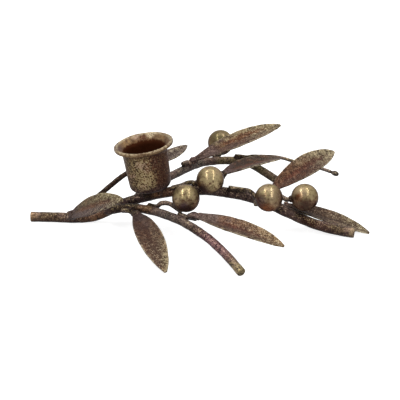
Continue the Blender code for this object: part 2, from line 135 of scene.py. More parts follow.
# The cup's floor, its half width, and the level above its foot from which a face can be inside it
CUP_FLOOR = 1.5 * MM
CUP_HALF_WIDTH = 13 * MM
WELL_START = 0.5 * MM

# The leaf's chart: its steps along the leaf, the least width that it is stretched over, and the way
# from the near rim to the far one
CHART_STEPS = 24
LEAST_WIDTH = 0.1 * MM
TOWARDS_FAR = Vector((0.0, 0.4, 0.9))

# A bead of weld runs where two pieces lie this near. It starts as lumps this far apart, each a
# little larger or smaller than its size, which are run together, smoothed and made uneven
BEAD_REACH = 0.62 * MM
WIDE_SEAMS = {"tip_leaf_stalk": 1.5 * MM}
BEAD_STEP = 0.9 * MM
BEAD_SPREAD = (0.8, 1.2)
BEAD_SEED = 4
BEAD_VOXEL = 0.22 * MM
BEAD_SMOOTHING = {"factor": 0.5, "iterations": 6}
BEAD_LUMPS = ((1.1 * MM, 0.35 * MM),)

# The size of the lumps in each kind of bead
STALK_BEAD = 1.0 * MM
BERRY_BEAD = 1.3 * MM
BRANCH_BEAD = 1.5 * MM
TIP_LEAF_BEAD = 0.8 * MM
BUD_BEAD = 0.6 * MM


class Neck(NamedTuple):
    """The weld at a leaf's neck.

    It fills the notch between leaf and stalk, over a length from the neck and down to a depth, and
    the seam where they lie within reach of each other, with lumps of one size.
    """

    length: float
    depth: float
    reach: float
    bead: float


SHORT_NECK = Neck(length=5 * MM, depth=3 * MM, reach=BEAD_REACH, bead=0.85 * MM)
LONG_NECK = Neck(length=10 * MM, depth=4.5 * MM, reach=4.5 * MM, bead=1.15 * MM)
LONG_NECKED = ("front_right_leaf",)

# Where the fill of a notch has its points, as shares of the way from the leaf to the stalk
FILL_SHARES = (0.2, 0.45, 0.7, 0.95)

# The tip leaf lies a little lower and nearer than its solid. It is welded where it lies this near
# the stem, apart from the stretch where daylight shows under it
TIP_LEAF_DROP = Vector((0.0, -0.3, -0.25)) * MM
TIP_LEAF_SEAM = 1.7 * MM
DAYLIGHT = (60.5 * MM, 73 * MM)

# This stalk looks thicker and darker than the others
THICK_STALK = "rear_left_leaf_stalk"

# How much of its reach a bloom covers whole, how strongly the brown and the gold finishes shine
# apart from their metal, and how strongly relief shows
BLOOM_CORE = 0.3
BRONZE_SHINE = 0.25
GOLD_SHINE = 0.1
RELIEF = 0.5


def paint(red, green, blue):
    """A colour as it looks on a screen, from 0 to 255, as the light a shader works in."""
    light = []
    for level in (red, green, blue):
        share = level / 255
        light.append(share / 12.92 if share <= 0.04045 else ((share + 0.055) / 1.055) ** 2.4)
    return (*light, 1.0)


# The colours of the patina, roughly from the darkest hollow to the brightest rub
# The darkest colour, used both as patina and as painted shade
SOOT_AND_SHADE = paint(32, 24, 22)
DARK_RED = paint(66, 36, 28)
WELL_RED = paint(66, 33, 18)
UMBER = paint(58, 43, 36)
CHESTNUT = paint(84, 56, 45)
MAROON = paint(94, 46, 34)
DARK_PLUM = paint(66, 50, 52)
PLUM = paint(90, 72, 70)
MAUVE = paint(116, 99, 94)
ROSE = paint(146, 104, 112)
RUST = paint(112, 70, 46)
EMBER = paint(114, 66, 38)
COPPER = paint(128, 91, 66)
BROWN = paint(100, 79, 62)
DARK_OLIVE = paint(98, 88, 62)
OLIVE = paint(120, 107, 76)
AMBER = paint(152, 120, 82)
GREY = paint(108, 100, 95)
BEIGE = paint(176, 150, 128)
OLD_GOLD = paint(154, 138, 101)
GOLD = paint(164, 147, 110)
STRAW = paint(202, 186, 146)
PALE_GOLD = paint(210, 196, 164)

# What the bronze reflects at a glancing angle, so that its edges stay dark
DARK_EDGE = paint(110, 90, 74)


class Patina(NamedTuple):
    """The patina of one leaf.

    First come its colours: at the neck, along the midrib, on the near and the far half, at the tip.
    The midrib's colour is partly painted shade in its crease, and the two halves differ partly as
    painted shade of the fold. The tip leaf's dark neck is a painted shadow of the ball over it.
    Then it says how far along the leaf the neck's colour ends and where the tip's begins, how
    strongly lines along the leaf mark it, how pale its near rim is rubbed and how much of the rest
    is, and how far from its middle towards the far rim the halves meet.
    """

    neck: tuple
    midrib: tuple
    near_half: tuple
    far_half: tuple
    tip: tuple
    neck_end: float
    tip_start: float
    streaks: float = 0.25
    near_rim: float = 1.0
    rub: float = 1.0
    midline: float = 0.0


PATINAS = {
    "butt_leaf": Patina(DARK_PLUM, RUST, DARK_PLUM, OLIVE, OLD_GOLD, 0.36, 0.55, near_rim=0.0),
    "front_left_leaf": Patina(DARK_PLUM, DARK_RED, CHESTNUT, BROWN, GOLD, 0.45, 0.72, rub=0.75),
    "rear_left_leaf": Patina(GREY, DARK_PLUM, DARK_PLUM, GREY, MAUVE, 0.3, 0.5, streaks=0.75),
    "rear_upper_leaf": Patina(PLUM, EMBER, CHESTNUT, OLIVE, OLD_GOLD, 0.45, 0.5, midline=0.3),
    "middle_leaf": Patina(
        PLUM, EMBER, DARK_PLUM, SOOT_AND_SHADE, CHESTNUT, 0.35, 0.75, near_rim=1.6, rub=0.4, midline=-0.2
    ),
    "rear_right_leaf": Patina(CHESTNUT, MAROON, DARK_RED, COPPER, STRAW, 0.3, 0.5, rub=0.8),
    # The tip leaf's dark neck is a painted shadow of the far right ball that hangs over it
    "tip_leaf": Patina(SOOT_AND_SHADE, UMBER, BROWN, BROWN, OLIVE, 0.6, 0.62),
    "front_right_leaf": Patina(MAUVE, MAROON, DARK_RED, COPPER, AMBER, 0.45, 0.55),
}

# Over how much of a leaf's length its neck's colour and its tip's come and go
NECK_FADE = 0.25
TIP_FADE = 0.4

BARS = ("main_stem", "front_branch", "rear_branch")
LEAVES = tuple(PATINAS)
BERRIES = ("rear_berry", "middle_berry", "front_berry", "right_berry", "far_right_berry")

# Blooms of colour: where in millimetres, how far each reaches, and its colour. The two pale blooms at
# the back of the cup's flange are painted highlights
BLOOMS = {
    "main_stem": (
        ((-94, 0, 4), 22, BROWN),
        ((-99, 0, 4), 5, AMBER),
        ((-59, -4, 6), 16, COPPER),
        ((-40, -3, 12), 20, DARK_PLUM),
        ((8, -10, 20), 20, DARK_PLUM),
        ((32, -12, 20), 20, PLUM),
        ((-20, -8, 20), 8, COPPER),
        ((-11, -9, 22), 12, RUST),
        ((68, -21, 8), 14, DARK_RED),
        ((86, -24, 4), 12, BROWN),
        ((92, -24, 3), 7, GOLD),
    ),
    "front_branch": (
        ((23, -74, 3), 13, GOLD),
        ((10, -52, 10), 18, ROSE),
        ((-8, -34, 17), 10, MAUVE),
        ((-31, -17, 17), 8, COPPER),
        ((-18, -25, 17), 12, GREY),
    ),
    "rear_branch": (
        ((18, 52, 17), 12, OLIVE),
        ((-5, 36, 18), 24, GREY),
        ((42, 56, 7), 20, DARK_OLIVE),
    ),
    "wires": (
        ((-3, -35, 17), 9, MAUVE),
        ((85, 44, 14), 7, GREY),
    ),
    "welds": (
        ((-2, -34, 18), 12, MAUVE),
        ((2, -34, 17), 8, PLUM),
        ((-44, -9, 13), 14, DARK_PLUM),
        ((57, -13, 13), 8, UMBER),
    ),
    "cup_weld": (
        ((-24, -11, 21), 5, COPPER),
    ),
    "berries": (
        ((35, -31, 26), 6, DARK_PLUM),
        ((39, -32, 22), 6, RUST),
        ((57, -22, 25), 4, RUST),
        ((61, -22, 21), 5, UMBER),
        ((3, -22, 30), 5, DARK_PLUM),
        ((9, -24, 35), 8, GOLD),
        ((46, -28, 28), 7, BROWN),
        ((-8, -29, 22), 5, DARK_PLUM),
        ((-15, -31, 20), 5, AMBER),
        ((12, 61, 30), 9, DARK_OLIVE),
    ),
    "candle_cup": (
        ((-34, 9, 51), 7, CHESTNUT),
        # Two painted highlights at the back of the flange
        ((-37, 8.5, 51), 3.4, BEIGE),
        ((-28.5, 9.5, 53), 4.2, PALE_GOLD),
        ((-50, -5, 49), 11, PLUM),
        ((-16, -4, 53), 11, BROWN),
    ),
}


class Value:
    """A socket that can stand in a sum. Each operator adds the Math node that does it."""

    def __init__(self, nodes, socket):
        self.nodes = nodes
        self.socket = socket

    def __add__(self, other):
        return self.nodes.maths("ADD", self, other)

    def __radd__(self, other):
        return self.nodes.maths("ADD", other, self)

    def __sub__(self, other):
        return self.nodes.maths("SUBTRACT", self, other)

    def __rsub__(self, other):
        return self.nodes.maths("SUBTRACT", other, self)

    def __mul__(self, other):
        return self.nodes.maths("MULTIPLY", self, other)

    def __rmul__(self, other):
        return self.nodes.maths("MULTIPLY", other, self)

    def __abs__(self):
        return self.nodes.maths("ABSOLUTE", self)


class Nodes:
    """The node tree of a material or of the world."""

    def __init__(self, tree):
        self.tree = tree

    def feed(self, socket, value):
        """Links a value to a socket, or sets it there."""
        if isinstance(value, Value):
            self.tree.links.new(value.socket, socket)
        else:
            socket.default_value = value

    def node(self, kind, settings=None, inputs=None, output=0):
        """Adds a node: its settings come first, then the values or links of its sockets."""
        made = self.tree.nodes.new(kind)
        for setting, value in (settings or {}).items():
            setattr(made, setting, value)
        for socket, value in (inputs or {}).items():
            self.feed(made.inputs[socket], value)
        return Value(self, made.outputs[output])

    def maths(self, operation, *terms):
        """Adds a Math node, for the operators and for what has no operator."""
        return self.node("ShaderNodeMath", {"operation": operation}, dict(enumerate(terms)))

    def seen(self):
        """1 for the camera and for what metal and glass show, 0 for the light on the object."""
        rays = [self.node("ShaderNodeLightPath", output=f"Is {kind} Ray") for kind in RAYS_THAT_SEE]
        return self.maths("MAXIMUM", rays[0], self.maths("MAXIMUM", rays[1], rays[2]))


class Finish(Nodes):
    """One material, with the patterns and blends that its finish is made of."""

    def __init__(self, name):
        self.material = bpy.data.materials.new(name)
        self.material.use_nodes = True
        super().__init__(self.material.node_tree)
        self.surface = self.tree.nodes["Principled BSDF"]

    def place(self):
        """Where a point of the surface lies in the frame."""
        return self.node("ShaderNodeTexCoord", output="Object")

    def chart(self):
        """Where a point of the surface lies on its piece's own chart."""
        return self.node("ShaderNodeTexCoord", output="UV")

    def part(self, vector, axis):
        """One of the three numbers of a vector."""
        return self.node("ShaderNodeSeparateXYZ", inputs={"Vector": vector}, output=axis)

    def facing(self, axis):
        """How far the surface looks along an axis: 1 along it, 0 square to it, -1 against it."""
        return self.part(self.node("ShaderNodeNewGeometry", output="Normal"), axis)

    def shifted(self, place, shift, scale=(1.0, 1.0, 1.0)):
        """The same place moved, so that two patterns of one kind don't fall together."""
        inputs = {"Vector": place, "Location": shift, "Scale": scale}
        return self.node("ShaderNodeMapping", inputs=inputs)

    def noise(self, place, size, detail=2.0, roughness=0.5):
        """Clouds with grains of about this size."""
        inputs = {"Vector": place, "Scale": 1 / size, "Detail": detail, "Roughness": roughness}
        return self.node("ShaderNodeTexNoise", inputs=inputs)

    def pits(self, place, size):
        """Distance from the nearest of many scattered points, as a share of their spacing."""
        return self.node("ShaderNodeTexVoronoi", inputs={"Vector": place, "Scale": 1 / size})

    def fade(self, value, low, high):
        """Nothing below the low level, all above the high one, and a smooth rise between."""
        inputs = {"Value": value, "From Min": low, "From Max": high}
        return self.node("ShaderNodeMapRange", {"interpolation_type": "SMOOTHSTEP"}, inputs)

    def near(self, place, centre, reach):
        """All around one point, and nothing past this distance from it."""
        ends = {0: place, 1: centre}
        gap = self.node("ShaderNodeVectorMath", {"operation": "DISTANCE"}, ends, output="Value")
        return 1 - self.fade(gap, reach * BLOOM_CORE, reach)

    def blend(self, share, first, second):
        """The first colour, going over to the second by this share."""
        inputs = {"Factor": share, 6: first, 7: second}
        return self.node("ShaderNodeMix", {"data_type": "RGBA"}, inputs, output=2)

    def bloom(self, colour, place, blooms, share):
        """Lays the blooms over a colour, broken up by this share."""
        for centre, reach, tone in blooms:
            over = self.near(place, Vector(centre) * MM, reach * MM) * share
            colour = self.blend(over, colour, tone)
        return colour

    def coat(self, colour, roughness, metallic, relief, depth, shine=BRONZE_SHINE):
        """Sends the colour, the gloss and the relief to the surface, and gives the material."""
        bump = {"Height": relief, "Distance": depth, "Strength": RELIEF}
        inputs = {
            "Base Color": colour,
            "Roughness": roughness,
            "Metallic": metallic,
            "Specular IOR Level": shine,
            "Specular Tint": DARK_EDGE,
            "Normal": self.node("ShaderNodeBump", inputs=bump),
        }
        for socket, value in inputs.items():
            self.feed(self.surface.inputs[socket], value)
        return self.material


def bar_bronze(name, blooms=(), rub=0.0, patina=PLUM):
    """Dark brown bar with coloured blooms, specked with gold where it has been rubbed, with painted
    shade where it looks down.
    """
    f = Finish(name)
    place = f.place()
    up = f.facing("Z")
    patches = f.noise(place, 11 * MM)
    mottle = f.noise(f.shifted(place, (0.03, 0.01, 0.05)), 2.2 * MM, 3, 0.6)
    speckle = f.noise(f.shifted(place, (0.07, 0.02, 0.01)), 0.65 * MM, 2, 0.7)

    # Soot and umber, with patches of the patina and of rust, and the blooms
    colour = f.blend(f.fade(mottle * 0.7 + speckle * 0.3, 0.4, 0.6), SOOT_AND_SHADE, UMBER)
    colour = f.blend(f.fade(patches, 0.44, 0.6) * 0.7, colour, patina)
    colour = f.blend(f.fade(speckle * 0.5 + patches * 0.5, 0.54, 0.62) * 0.4, colour, RUST)
    broken = f.fade(mottle * 0.4 + speckle * 0.6, 0.4, 0.54) * 0.8
    colour = f.bloom(colour, place, blooms, broken)

    # Specks rubbed to gold, a few more on top, and painted shade where the bar looks down
    worn = speckle * 0.7 + mottle * 0.2 + patches * 0.1 + up * 0.05 + (rub - 0.03)
    worn = f.fade(worn, 0.5, 0.63)
    gold = f.blend(f.fade(patches, 0.42, 0.58), GOLD, BEIGE)
    colour = f.blend(worn * 0.7, colour, gold)
    painted_shade = f.fade(up + (mottle - 0.5) * 1.2, -0.8, 0.4)
    colour = f.blend(painted_shade * 0.75 + 0.25, SOOT_AND_SHADE, colour)

    relief = speckle * 0.5 + mottle * 0.5
    return f.coat(colour, 0.5 - worn * 0.15, 0.2 + worn * 0.3, relief, 0.35 * MM)


def leaf_bronze(node):
    """Pressed leaf: its own patina on each half, partly painted shade of the fold, darker at the neck
    and rubbed towards the tip.
    """
    leaf = PATINAS[node]
    f = Finish(node.replace("_", " "))
    place = f.place()
    chart = f.chart()
    along = f.part(chart, "X")
    side = f.part(chart, "Y") * 2 - 1
    halves = side - leaf.midline
    patches = f.noise(place, 7 * MM)
    blotch = f.noise(f.shifted(place, (0.06, 0.03, 0.02)), 4 * MM, 3, 0.65)
    mottle = f.noise(f.shifted(place, (0.02, 0.04, 0.01)), 2.0 * MM, 3, 0.6)
    speckle = f.noise(f.shifted(place, (0.05, 0.02, 0.08)), 0.6 * MM, 2, 0.7)
    lines = f.noise(f.shifted(chart, (0.3, 0.1, 0.0), (1.5, 6.0, 1.0)), 1.0)
    drift = patches - 0.5
    onward = along + drift * 0.5
    past_neck = (leaf.neck_end - NECK_FADE, leaf.neck_end)
    on_tip = (leaf.tip_start, leaf.tip_start + TIP_FADE)

    # The patina of the two halves, which differ partly as painted shade of the fold, the tip, the
    # neck, and the groove of the midrib, darkened partly as painted shade in the crease
    colour = f.blend(f.fade(halves + drift * 1.8, -0.35, 0.35), leaf.near_half, leaf.far_half)
    colour = f.blend(f.fade(blotch, 0.52, 0.6) * 0.5, colour, RUST)
    colour = f.blend(f.fade(onward + side * 0.2, *on_tip) * 0.8, colour, leaf.tip)
    colour = f.blend(1 - f.fade(onward, *past_neck), colour, leaf.neck)
    # The groove along the midrib: its patina, with painted shade in the crease
    groove = 1 - f.fade(abs(halves) + (mottle - 0.5) * 0.9, 0.06, 0.42)
    groove = groove * f.fade(along, *past_neck) * (1 - f.fade(onward, 0.7, 0.92))
    colour = f.blend(groove * 0.9, colour, leaf.midrib)

    # Dark specks, hollows, veins and lines
    dark = f.fade(mottle * 0.35 + speckle * 0.65, 0.42, 0.55)
    colour = f.blend(dark * 0.85 + 0.15, UMBER, colour)
    hollow = 1 - f.fade(blotch * 0.6 + mottle * 0.4, 0.4, 0.48)
    colour = f.blend(hollow * 0.5, colour, UMBER)
    veins = 1 - f.fade(abs(mottle * 0.5 + blotch * 0.5 - 0.5), 0.0, 0.014)
    marks = veins * 0.6 + f.fade(lines, 0.46, 0.6) * leaf.streaks
    colour = f.blend(f.maths("MINIMUM", marks, 1), colour, UMBER)

    # Specks and rims rubbed pale, more so towards the tip
    worn = f.fade(speckle * 0.75 + mottle * 0.25, 0.51, 0.62) * leaf.rub
    rubbed = f.blend(f.fade(along, 0.3, 0.8), BEIGE, PALE_GOLD)
    colour = f.blend(worn * (1 - groove * 0.5) * (along * 0.6 + 0.25), colour, rubbed)
    rim = f.fade(abs(side), 0.84, 0.96) * f.fade(mottle * 0.6 + along * 0.08, 0.28, 0.36)
    rim = rim * (f.fade(side, -0.5, 0.5) * (1 - leaf.near_rim) + leaf.near_rim)
    colour = f.blend(rim * (along * 0.5 + 0.12), colour, PALE_GOLD)

    relief = mottle * 0.5 + speckle * 0.4 - veins * 0.2
    return f.coat(colour, 0.52 - worn * 0.1, 0.15 + worn * 0.2, relief, 0.3 * MM)


def berry_gold():
    """Solid ball: bright gold on top, stained brown in patches lower down, with small dark pits.
    Lower down the stain is partly painted shade, and underneath and at the sides the ball has painted
    shade.
    """
    f = Finish("berry gold")
    place = f.place()
    up = f.facing("Z")
    patches = f.noise(place, 6 * MM)
    mottle = f.noise(f.shifted(place, (0.02, 0.05, 0.03)), 1.9 * MM, 3, 0.65)
    speckle = f.noise(f.shifted(place, (0.01, 0.07, 0.02)), 0.6 * MM, 2, 0.7)
    pits = f.pits(f.shifted(place, (0.03, 0.02, 0.06)), 1.3 * MM)
    grain = mottle * 0.6 + speckle * 0.4

    # Gold above and a stain below it, split by height, partly patina and partly painted shade, and
    # the blooms
    gold = f.blend(f.fade(grain, 0.36, 0.53), BROWN, OLD_GOLD)
    gold = f.blend(f.fade(patches, 0.46, 0.62) * 0.3, gold, BEIGE)
    stain_and_shade = f.blend(f.fade(mottle, 0.4, 0.58), DARK_RED, BROWN)
    height = up + (patches - 0.5) * 2.2 + (mottle - 0.5) * 0.9
    colour = f.blend(f.fade(height, -0.4, 0.65), stain_and_shade, gold)
    colour = f.bloom(colour, place, BLOOMS["berries"], f.fade(grain, 0.36, 0.54))

    # Painted shade underneath, painted shade in brown to the left and the right, and the pits
    colour = f.blend((1 - f.fade(height, -1.2, -0.4)) * 0.8, colour, SOOT_AND_SHADE)
    aside = f.fade(abs(f.facing("X")) + (mottle - 0.5) * 0.6, 0.55, 1.0)
    colour = f.blend(aside * 0.5, colour, CHESTNUT)
    deep = (1 - f.fade(pits, 0.12, 0.34)) * f.fade(speckle - up * 0.16, 0.36, 0.47)
    colour = f.blend(deep * 0.85, colour, UMBER)

    relief = mottle * 0.5 + speckle * 0.2 - deep * 0.4
    dull = deep * 0.3 + (1 - f.fade(up, -0.7, 0.0)) * 0.4
    return f.coat(colour, dull + 0.24, 0.5, relief, 0.045 * MM, GOLD_SHINE)


def cup_gold(foot):
    """The cup: gold speckle over brown outside, with painted light in the middle and painted shade to
    the sides, dark to the right partly as painted shade, and red-brown inside.
    """
    f = Finish("cup gold")
    place = f.place()
    chart = f.chart()
    level = f.part(chart, "X")
    inside = f.part(chart, "Y")
    offset = f.node("ShaderNodeVectorMath", {"operation": "SUBTRACT"}, {0: place, 1: foot})
    right = f.part(offset, "X") * (1 / CUP_HALF_WIDTH) + level * 0.4
    patches = f.noise(place, 8 * MM)
    mottle = f.noise(f.shifted(place, (0.04, 0.02, 0.03)), 2.0 * MM, 3, 0.65)
    speckle = f.noise(f.shifted(place, (0.03, 0.06, 0.02)), 0.75 * MM, 1)
    grain = speckle * 0.75 + mottle * 0.25
    drift = (patches - 0.5) * 1.2
    height = level + drift * 0.1

    # Painted light and shade: the outside is amber where light is painted in the middle, darker with
    # painted shade to both sides and a painted shadow under the flare, and darker at the foot; the
    # right side's chestnut is partly its own patina
    colour = f.blend(f.fade(mottle, 0.38, 0.6), UMBER, RUST)
    lit = f.fade(right + drift * 0.5, -1.0, -0.3) * (1 - f.fade(right + drift, 0.0, 0.6))
    lit = lit * f.fade(height, 0.02, 0.25) * (1 - f.fade(level, 0.72, 0.9) * 0.5)
    colour = f.blend(lit * 0.5, colour, AMBER)
    colour = f.blend((1 - f.fade(right + drift, -0.7, -0.2)) * 0.5, colour, DARK_OLIVE)
    colour = f.blend(f.fade(right + drift * 0.5, 0.1, 0.6) * 0.85, colour, CHESTNUT)
    colour = f.blend(1 - f.fade(height, 0.04, 0.26), colour, DARK_PLUM)
    colour = f.blend((1 - f.fade(right, -1.0, -0.7)) * 0.6, colour, UMBER)
    colour = f.blend(f.fade(height, 0.76, 0.86) * 0.6, colour, DARK_RED)

    # Dark specks, and specks rubbed to gold, both placed more where the light is painted on
    colour = f.blend(1 - f.fade(grain + (1 - lit) * 0.02, 0.4, 0.5), colour, UMBER)
    worn = f.fade(grain + (lit - 0.5) * 0.1, 0.5, 0.58)
    rubbed = f.blend(f.fade(patches, 0.46, 0.66), GOLD, BEIGE)
    colour = f.blend(worn * (0.3 + lit * 0.6), colour, rubbed)

    # The flange with its blooms, two of them painted highlights at its back, the well inside, and the
    # lip
    flange = f.blend(f.fade(mottle, 0.3, 0.7) * 0.8, BROWN, AMBER)
    flange = f.blend(f.fade(grain, 0.49, 0.59) * 0.2, flange, GOLD)
    flange = f.bloom(flange, place, BLOOMS["candle_cup"], f.fade(grain, 0.4, 0.52))
    colour = f.blend(f.fade(level, 0.88, 0.93) * 0.8, colour, flange)
    well = f.blend(f.fade(level + (mottle - 0.5) * 0.1, 0.86, 0.91), WELL_RED, flange)
    colour = f.blend(inside, colour, well)
    lip = f.fade(level, 0.95, 0.99) * f.fade(mottle, 0.36, 0.58)
    colour = f.blend(lip * 0.5, colour, PALE_GOLD)

    relief = mottle * 0.4 + grain * 0.6
    return f.coat(colour, 0.52 - worn * 0.15, 0.15 + worn * 0.25, relief, 0.3 * MM, GOLD_SHINE)


def select_only(piece):
    """Makes this piece the one that the operators act on."""
    bpy.ops.object.select_all(action="DESELECT")
    piece.select_set(True)
    bpy.context.view_layer.objects.active = piece


def apply_modifier(piece, kind, **settings):
    """Adds a modifier with these settings and applies it."""
    select_only(piece)
    modifier = piece.modifiers.new(kind.lower(), kind)
    for setting, value in settings.items():
        setattr(modifier, setting, value)
    bpy.ops.object.modifier_apply(modifier=modifier.name)


def clouds(size):
    """A texture of soft lumps of this size, for relief that is in the mesh."""
    texture = bpy.data.textures.new(f"lumps of {size / MM:.1f} mm", "CLOUDS")
    texture.noise_scale = size
    texture.noise_depth = 2
    return texture


def roughen(piece, lumps):
    """Works the surface in and out, as a hammer and a rough casting leave it."""
    for size, depth in lumps:
        apply_modifier(piece, "DISPLACE", texture=clouds(size), strength=depth, mid_level=0.5)


def copy_of(node):
    """A new piece that starts as a merged copy of a node, with its faces four-sided again."""
    piece = bpy.data.objects.new(PREFIX + node, frame["nodes"][node].data.copy())
    bpy.context.scene.collection.objects.link(piece)
    piece.data.materials.clear()
    select_only(piece)
    bpy.ops.object.mode_set(mode="EDIT")
    bpy.ops.mesh.select_all(action="SELECT")
    bpy.ops.mesh.remove_doubles(threshold=MERGE_WITHIN)
    bpy.ops.mesh.tris_convert_to_quads(face_threshold=FACE_TURN, shape_threshold=CORNER_TURN)
    bpy.ops.object.mode_set(mode="OBJECT")
    bpy.ops.mesh.customdata_custom_splitnormals_clear()
    return piece


def crease(piece, turn, sharpness):
    """Keeps the edges that turn by more than this many degrees from being rounded away."""
    select_only(piece)
    bpy.ops.object.mode_set(mode="EDIT")
    bpy.ops.mesh.select_mode(type="EDGE")
    bpy.ops.mesh.select_all(action="DESELECT")
    bpy.ops.mesh.edges_select_sharp(sharpness=math.radians(turn))
    bpy.ops.transform.edge_crease(value=sharpness)
    bpy.ops.object.mode_set(mode="OBJECT")


def swell(piece, depth):
    """Moves the whole surface outwards."""
    select_only(piece)
    bpy.ops.object.mode_set(mode="EDIT")
    bpy.ops.mesh.select_all(action="SELECT")
    bpy.ops.transform.shrink_fatten(value=depth)
    bpy.ops.object.mode_set(mode="OBJECT")


def worked(node, form):
    """A new piece in the shape of a node, rounded, brought back to size and made uneven."""
    piece = copy_of(node)
    for turn, sharpness in form.edges:
        crease(piece, turn, sharpness)
    apply_modifier(piece, "SUBSURF", levels=form.levels, render_levels=form.levels)
    if form.swell:
        swell(piece, form.swell)
    roughen(piece, form.lumps)
    return piece


def keep_inside(piece):
    """Brings back what the roughening pushed below the table or past the object's own reach."""
    lowest, highest = cad_box
    for vertex in piece.data.vertices:
        for axis in range(3):
            vertex.co[axis] = min(max(vertex.co[axis], lowest[axis]), highest[axis])


def complete(piece, material):
    """Gives a piece its material and its slot, shades it smooth and lets it ride on the body."""
    keep_inside(piece)
    piece.data.materials.append(material)
    select_only(piece)
    bpy.ops.object.shade_smooth()
    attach(piece, "root")


def dress(piece, node, material):
    """Completes a piece and lets it stand for its node."""
    complete(piece, material)
    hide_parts(node)
    return piece


def ends_of(leaf):
    """The leaf's neck, where its stalk is, and its tip."""
    points = [vertex.co for vertex in leaf.data.vertices]
    stalk = sum(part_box(leaf.name.removeprefix(PREFIX) + "_stalk"), Vector()) / 2
    middle = sum(points, Vector()) / len(points)
    tip = max(points, key=lambda point: (point - middle).length)
    neck = max(points, key=lambda point: (point - tip).length)
    return (neck, tip) if (tip - stalk).length > (neck - stalk).length else (tip, neck)


def chart_leaf(piece):
    """Writes a chart of the leaf: along it from neck to tip, and across it from rim to rim."""
    points = [vertex.co for vertex in piece.data.vertices]
    neck, tip = ends_of(piece)
    length = (tip - neck).length
    along = (tip - neck) / length

    # The widest reach square to the length gives the direction across, from near to far
    offsets = [(point - neck) - along * along.dot(point - neck) for point in points]
    widest = max(offsets, key=lambda offset: offset.length)
    across = (widest - max(offsets, key=lambda offset: (offset - widest).length)).normalized()
    if across.dot(TOWARDS_FAR) < 0:
        across = -across

    # The two rims, read in even steps along the leaf
    rims = [[0.0, 0.0] for _ in range(CHART_STEPS + 1)]
    places = []
    for point in points:
        share = min(max(along.dot(point - neck) / length, 0.0), 1.0)
        aside = across.dot(point - neck)
        rim = rims[round(share * CHART_STEPS)]
        rim[0], rim[1] = min(rim[0], aside), max(rim[1], aside)
        places.append((share, aside))

    chart = piece.data.uv_layers.new(name="leaf chart")
    for loop in piece.data.loops:
        share, aside = places[loop.vertex_index]
        step = min(int(share * CHART_STEPS), CHART_STEPS - 1)
        on = share * CHART_STEPS - step
        low = rims[step][0] * (1 - on) + rims[step + 1][0] * on
        high = rims[step][1] * (1 - on) + rims[step + 1][1] * on
        chart.data[loop.index].uv = (share, (aside - low) / max(high - low, LEAST_WIDTH))


def chart_cup(piece, foot, axis):
    """Writes a chart of the cup: how high each point lies, and whether it is on the inside."""
    chart = piece.data.uv_layers.new(name="cup chart")
    levels = [axis.dot(vertex.co - foot) for vertex in piece.data.vertices]
    top = max(levels)
    inner = []
    for vertex, level in zip(piece.data.vertices, levels):
        outwards = (vertex.co - foot - axis * level).normalized()
        looks_in = vertex.normal.dot(axis) > vertex.normal.dot(outwards)
        inner.append(float(looks_in and level > WELL_START))
    for loop in piece.data.loops:
        i = loop.vertex_index
        chart.data[loop.index].uv = (levels[i] / top, inner[i])


def make_piece(node, form, material):
    """A piece of bar, of wire or of weld, or the bud."""
    return dress(worked(node, form), node, material)


def make_leaf(node, material):
    """A pressed leaf, with its chart."""
    piece = worked(node, LEAF)
    if node == "tip_leaf":
        for vertex in piece.data.vertices:
            vertex.co += TIP_LEAF_DROP
    chart_leaf(piece)
    return dress(piece, node, material)


def make_ball(node, material):
    """A ball where the node's faceted one is."""
    low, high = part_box(node)
    ball = {"radius": (high - low).z / 2, "location": (low + high) / 2}
    bpy.ops.object.select_all(action="DESELECT")
    bpy.ops.mesh.primitive_uv_sphere_add(segments=BALL_SEGMENTS, ring_count=BALL_RINGS, **ball)
    piece = bpy.context.object
    piece.name = PREFIX + node
    bpy.ops.object.transform_apply(location=True, rotation=True, scale=True)
    roughen(piece, BALL_LUMPS)
    return dress(piece, node, material)


def make_cup(node, material, foot, axis):
    """The turned cup, with its chart."""
    piece = worked(node, CUP)
    chart_cup(piece, foot, axis)
    return dress(piece, node, material)


def tree_of(piece):
    """The piece's surface, ready to be asked for its nearest point."""
    points = [vertex.co for vertex in piece.data.vertices]
    return BVHTree.FromPolygons(points, [tuple(face.vertices) for face in piece.data.polygons])


def seam(first, second_tree, reach):
    """Points between two pieces, wherever the first lies nearer to the second than the reach."""
    found = []
    for vertex in first.data.vertices:
        near = second_tree.find_nearest(vertex.co, reach)[0]
        if near is not None:
            found.append((near + vertex.co) / 2)
    return found


def notch_fill(leaf, stalk_tree, neck):
    """Points that fill the notch between the leaf's neck and the stalk under it."""
    start = ends_of(leaf)[0]
    found = []
    for vertex in leaf.data.vertices:
        if (vertex.co - start).length < neck.length:
            near = stalk_tree.find_nearest(vertex.co, neck.depth)[0]
            if near is not None:
                found += [vertex.co.lerp(near, share) for share in FILL_SHARES]
    return found


def thinned(points, spacing):
    """As many of the points as lie no nearer to each other than the spacing."""
    kept = []
    for point in points:
        if all((point - other).length > spacing for other in kept):
            kept.append(point)
    return kept


def make_weld(name, points, size, material, chance):
    """A bead of weld: a lump on each point of the seam, run together and smoothed."""
    lumps = []
    for point in thinned(points, BEAD_STEP):
        bpy.ops.object.select_all(action="DESELECT")
        radius = size * chance.uniform(*BEAD_SPREAD)
        bpy.ops.mesh.primitive_ico_sphere_add(subdivisions=2, radius=radius, location=point)
        lumps.append(bpy.context.object)
    for lump in lumps:
        lump.select_set(True)
    bpy.ops.object.join()
    bead = bpy.context.object
    bead.name = name
    bpy.ops.object.transform_apply(location=True, rotation=True, scale=True)
    apply_modifier(bead, "REMESH", mode="VOXEL", voxel_size=BEAD_VOXEL)
    apply_modifier(bead, "SMOOTH", **BEAD_SMOOTHING)
    roughen(bead, BEAD_LUMPS)
    complete(bead, material)


